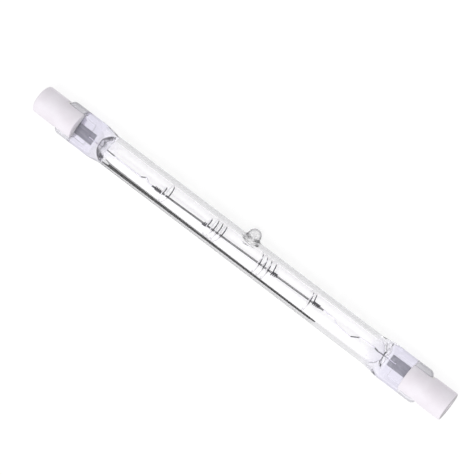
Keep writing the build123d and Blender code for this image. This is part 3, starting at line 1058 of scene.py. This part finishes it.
def cap_shell():
    """The cap's outer end as rings, and its two prongs and the slot as strips."""
    angles, slot_count, wall_count = cap_columns()
    around = len(angles)
    wall = np.concatenate([
        CAP_INNER_X + INNER_ROUNDING * (1 - np.cos(np.linspace(0, math.pi / 2, 6))),
        np.linspace(CAP_INNER_X + INNER_ROUNDING, SLOT_FLOOR_X, 8)[1:],
    ])
    wall_radius = CAP_RADIUS - INNER_ROUNDING + INNER_ROUNDING * np.sqrt(
        1 - np.clip(1 - (wall - CAP_INNER_X) / INNER_ROUNDING, 0, 1) ** 2
    )
    turn = np.linspace(0, math.pi / 2, 9)
    body = [np.linspace(SLOT_FLOOR_X, CAP_OUTER_X - OUTER_ROUNDING, 8)]
    body_radius = [np.full(8, CAP_RADIUS)]
    body.append(CAP_OUTER_X - OUTER_ROUNDING * (1 - np.sin(turn[1:])))
    body_radius.append(CAP_RADIUS - OUTER_ROUNDING * (1 - np.cos(turn[1:])))
    face_radius = CAP_RADIUS - OUTER_ROUNDING
    body.append(np.full(6, CAP_OUTER_X))
    body_radius.append(np.linspace(face_radius, RECESS_RADIUS + MOUTH_ROUNDING, 7)[1:])
    body.append(CAP_OUTER_X - MOUTH_ROUNDING * (1 - np.cos(turn[2::2])))
    body_radius.append(RECESS_RADIUS + MOUTH_ROUNDING * (1 - np.sin(turn[2::2])))
    body.append(np.linspace(CAP_OUTER_X - MOUTH_ROUNDING, CONTACT_X, 5)[1:])
    body_radius.append(np.full(4, RECESS_RADIUS))
    body.append(np.array([CONTACT_X, CONTACT_X, POCKET_FLOOR_X, POCKET_FLOOR_X]))
    pocket = [SEAT_RADIUS, BUTTON_RADIUS, BUTTON_RADIUS, SLEEVE_RADIUS]
    body_radius.append(np.array(pocket))
    body_x = np.concatenate(body)
    body_radius = np.concatenate(body_radius)

    full = turned_rings(body_x, body_radius, angles)
    points = [full.reshape(-1, 3), [[POCKET_FLOOR_X, 0, 0]]]
    quads = [ring_quads(len(body_x), around)]
    here = np.arange(around)
    last = (len(body_x) - 1) * around
    middle = np.full(around, len(body_x) * around)
    triangles = [np.stack([last + here, last + (here + 1) % around, middle], axis=-1)]
    start = len(body_x) * around + 1

    def add_grid(grid, turned):
        """Adds a grid's points, and the quads between its rows and columns."""
        nonlocal start
        rows, columns, _ = grid.shape
        row = np.arange(rows - 1)[:, None] * columns
        column = np.arange(columns - 1)[None, :]
        corner = row + column
        four = [corner, corner + 1, corner + columns + 1, corner + columns]
        faces = np.stack(four, axis=-1).reshape(-1, 4) + start
        points.append(grid.reshape(-1, 3))
        quads.append(faces[:, ::-1] if turned else faces)
        start += rows * columns

    wall_angles = angles[slot_count:slot_count + wall_count]
    first_wall = np.append(wall_angles, math.pi - angles[slot_count])
    for flip in (0, math.pi):
        prong = turned_rings(wall, wall_radius, first_wall + flip)
        add_grid(prong, False)
        half = (len(first_wall) + 1) // 2
        add_grid(strip_rows(prong[0, :half], prong[0, ::-1][:half], SLOT_STEPS), False)
        add_grid(strip_rows(prong[:, 0], prong[:, -1], SLOT_STEPS), True)
    side = turned_rings(body_x[:1], body_radius[:1], angles[:slot_count + 1])[0]
    other = side * np.array([1, -1, 1])
    add_grid(strip_rows(side, other, SLOT_STEPS), False)
    return np.vstack(points), np.vstack(quads), np.vstack(triangles)


# %% [markdown]
# The strips share their border points only by place, so the shell is welded after it is
# made. Its edges stay crisp where two faces meet at more than 35 degrees, and the rounded
# rims are smooth.

# %% Weld, place and finish the caps
CAP_CRISP_DEGREES = 35


def welded(shell, step=1e-4):
    """Points at one place become one, and triangles that closed up are left out."""
    points, quads, triangles = shell
    keys = np.round(points / step).astype(np.int64)
    _, kept, number = np.unique(keys, axis=0, return_index=True, return_inverse=True)
    number = number.ravel()
    quads, triangles = number[quads], number[triangles]
    pairs = [quads[:, k] == quads[:, (k + 1) % 4] for k in range(4)]
    closed_up = np.any(pairs, axis=0)
    narrow = quads[closed_up]
    same = np.stack(pairs, axis=-1)[closed_up]
    keep = np.argsort(same, axis=1, kind="stable")[:, :3]
    narrow = np.take_along_axis(narrow, np.sort(keep, axis=1), axis=1)
    distinct = [narrow[:, k] != narrow[:, (k + 1) % 3] for k in range(3)]
    narrow = narrow[np.all(distinct, axis=0)]
    return points[kept], quads[~closed_up], np.vstack([triangles, narrow])


cap = facing(welded(cap_shell()))
for end, side in ENDS.items():
    points, quads, triangles = cap
    shell = facing((points * np.array([side, 1, 1]), quads, triangles))
    body = make_piece("cap_" + end, shell, ceramic, "cap_ceramic", "ceramic_cap_" + end)
    sharpen(body, CAP_CRISP_DEGREES)

# %% [markdown]
# ## The contacts
# A contact is a turned nickel button, flush with the floor of the recess, with a sleeve
# behind it that grips the lead. The holder's pin presses on it, so it is slightly
# hollowed and its rim is rounded. It is a profile, as pairs of x and radius, turned about
# the lamp's axis.

# %% Contacts
CONTACT_PROFILE = [
    (54.72, 0.32), (54.70, 0.74), (56.28, 0.74), (56.32, 1.56), (56.9, 1.58),
    (57.03, 1.52), (57.09, 1.42), (57.1, 1.3), (57.08, 0.9), (57.04, 0.45), (57.03, 0.05),
]
CONTACT_AROUND = 72
CONTACT_CRISP_DEGREES = 50
contact_x, contact_radius = np.array(CONTACT_PROFILE).T
contact_rings = turned_rings(contact_x, contact_radius, round_angles(CONTACT_AROUND))
for end, side in ENDS.items():
    shell = facing(closed_rings(contact_rings * np.array([side, 1, 1])))
    button = make_piece(
        "contact_button_" + end, shell, contact_metal, "contact_metal", "contact_" + end
    )
    sharpen(button, CONTACT_CRISP_DEGREES)

# %% [markdown]
# ## Solids that stay
# The outer leads and the cement are right as they are, and mostly hidden. They only get
# their finish.

# %% Finish of the solids that stay
for end in ENDS:
    for name, material in (("outer_lead_", lead_wire), ("cap_cement_", cement)):
        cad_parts[name + end].material_slots[0].material = material
        print(name + end, "has its finish:", material.name)

# %% [markdown]
# ## Floor, light and the white ground
# Clear glass has no colour of its own: it is drawn by what it bends into view. The lamp
# lies on a white table under soft light from above. The table and the sky are white to
# the eye, to reflections and to light that comes through glass, but they light the lamp
# less than that, so that its white caps keep their shading.


# %% Floor
def seen_rays(owner):
    """1 for rays that show a picture: from the camera, off a mirror or through glass."""
    path = add_node(owner, "ShaderNodeLightPath")
    total = path.outputs["Is Camera Ray"]
    for name in ("Is Glossy Ray", "Is Transmission Ray"):
        total = computed(owner, "MAXIMUM", total, path.outputs[name])
    return total


def stage_mesh(name, points, faces, material):
    """A mesh object of a few flat faces, for the picture's stage."""
    mesh = bpy.data.meshes.new(name)
    mesh.from_pydata(points, [], faces)
    mesh.materials.append(material)
    piece = bpy.data.objects.new(name, mesh)
    bpy.context.scene.collection.objects.link(piece)
    return piece


FLOOR_Z = solid_low.z
FLOOR_HALF = 3.0
FLOOR_GLOW = 0.56
FLOOR_GLOW_SEEN = 0.28
paper, shader = new_material(
    "white_table", Roughness=0.9, Specular_IOR_Level=0.0,
    Base_Color=(0.20, 0.20, 0.20, 1), Emission_Color=(1, 1, 1, 1),
)
glow = computed(paper, "MULTIPLY_ADD", seen_rays(paper), FLOOR_GLOW_SEEN, FLOOR_GLOW)
feed_named(paper, shader, Emission_Strength=glow)
corners = [(-1, -1), (1, -1), (1, 1), (-1, 1)]
floor_points = [(FLOOR_HALF * x, FLOOR_HALF * y, FLOOR_Z) for x, y in corners]
floor = stage_mesh("table", floor_points, [(0, 1, 2, 3)], paper)
print("floor at z, mm:", round(1000 * FLOOR_Z, 2))

# %% [markdown]
# ## The dark card
# A black card draws the one dark line along the bore, as it does in a photographer's
# studio. It lies on the table close behind the lamp, on the side away from the drop, and
# stands up at its far edge. Only the edge of the bore bends the view as far as that. The
# nearer the card starts, the further the line reaches towards the tube's own edge. The
# card is narrower than the lamp, because the line stops before the right-hand seal. The
# camera doesn't see it, and it throws no shadow.

# %% Dark card, in metres
CARD_LIES_Z = -0.00375
CARD_TOP_Z = 0.009
CARD_NEAR_LEFT = (-0.0450, -0.0095)
CARD_NEAR_RIGHT = (0.0195, -0.0200)
CARD_FAR_RIGHT = (0.0178, -0.040)
CARD_FAR_LEFT = (-0.0528, -0.040)
lying = [CARD_NEAR_LEFT, CARD_NEAR_RIGHT, CARD_FAR_RIGHT, CARD_FAR_LEFT]
card_points = [(*corner, CARD_LIES_Z) for corner in lying]
card_points += [(*corner, CARD_TOP_Z) for corner in (CARD_FAR_RIGHT, CARD_FAR_LEFT)]
black, shader = new_material(
    "black_card", Roughness=1.0, Specular_IOR_Level=0.0,
    Base_Color=(0.01, 0.01, 0.01, 1),
)
card = stage_mesh("dark_card", card_points, [(0, 1, 2, 3), (3, 2, 4, 5)], black)
card.visible_camera = card.visible_diffuse = card.visible_shadow = False
print("the card's points:", len(card_points))

# %% [markdown]
# ## Sky and soft light
# The sky is plain white all round, at full strength to the eye and weaker as a light. One
# wide rectangle of light above the table shades the caps and the wires softly from one
# side. A small lamp in its place would draw hard bright spots on the tube.

# %% World
SKY_LIGHT = 0.66
SKY_SEEN = 1.0
world = bpy.data.worlds.new("soft_white")
bpy.context.scene.world = world
world.use_nodes = True
backdrop = feed_named(world, world.node_tree.nodes["Background"], Color=(1, 1, 1, 1))
sky = ranged(world, seen_rays(world), 0.0, 1.0, SKY_LIGHT, SKY_SEEN)
feed_named(world, backdrop, Strength=sky)
print("sky as light and as seen:", SKY_LIGHT, SKY_SEEN)

# %% Soft light from above
LIGHT_PLACE = (0.1, -0.15, 0.7)
LIGHT_SIDES = (0.9, 0.6)
LIGHT_POWER = 2.8
light_data = bpy.data.lights.new("soft_top", "AREA")
light_data.shape = "RECTANGLE"
light_data.size, light_data.size_y = LIGHT_SIDES
light_data.energy = LIGHT_POWER
top_light = bpy.data.objects.new("soft_top", light_data)
top_light.location = LIGHT_PLACE
top_light.rotation_euler = (-top_light.location).to_track_quat("-Z", "Y").to_euler()
bpy.context.scene.collection.objects.link(top_light)
print("light from above, watts:", LIGHT_POWER)

# %% [markdown]
# ## Camera
# The picture looks down on the lamp, a little from its right-hand end and from the side
# of the drop, with a long lens. The camera's direction starts square to the seals' flat
# faces, leans towards the drop, and then towards the right-hand cap. The picture is
# turned so that the lamp slopes down to the right, and the camera looks at a point a
# little beside the lamp's middle, given in millimetres of the picture.

# %% Camera
DISTANCE = 0.400
LEAN_TO_DROP = math.radians(10)
LEAN_TO_RIGHT = math.radians(13.2)
SLOPE = math.radians(37.17)
LENS = 134.75
NEAREST_SEEN = 0.01
LOOK_RIGHT = -0.71
LOOK_UP = 2.35


def leaned(direction, towards, angle):
    """cos(angle) times one direction plus sin(angle) times another, square to it."""
    return math.cos(angle) * direction + math.sin(angle) * towards


up_from_seals = leaned(DIRECTION_W, DIRECTION_V, LEAN_TO_DROP)
back = leaned(up_from_seals, LAMP_AXES[0], LEAN_TO_RIGHT)
lamp_right = LAMP_AXES[0] - back * back[0]
lamp_right /= np.linalg.norm(lamp_right)
drop_side = np.cross(back, lamp_right)
picture_right = leaned(lamp_right, drop_side, SLOPE)
picture_up = leaned(drop_side, -lamp_right, SLOPE)
target = (LOOK_RIGHT * picture_right + LOOK_UP * picture_up) * MM
place = target + DISTANCE * back
turned = Matrix(np.stack([picture_right, picture_up, back], axis=-1).tolist()).to_4x4()
camera_data = bpy.data.cameras.new("camera")
camera_data.lens = LENS
camera_data.clip_start = NEAREST_SEEN
camera = bpy.data.objects.new("camera", camera_data)
camera.matrix_world = Matrix.Translation(Vector(place)) @ turned
bpy.context.scene.collection.objects.link(camera)
bpy.context.scene.camera = camera
bpy.context.scene.view_settings.view_transform = "Standard"
print("camera at, mm:", np.round(1000 * place, 1))
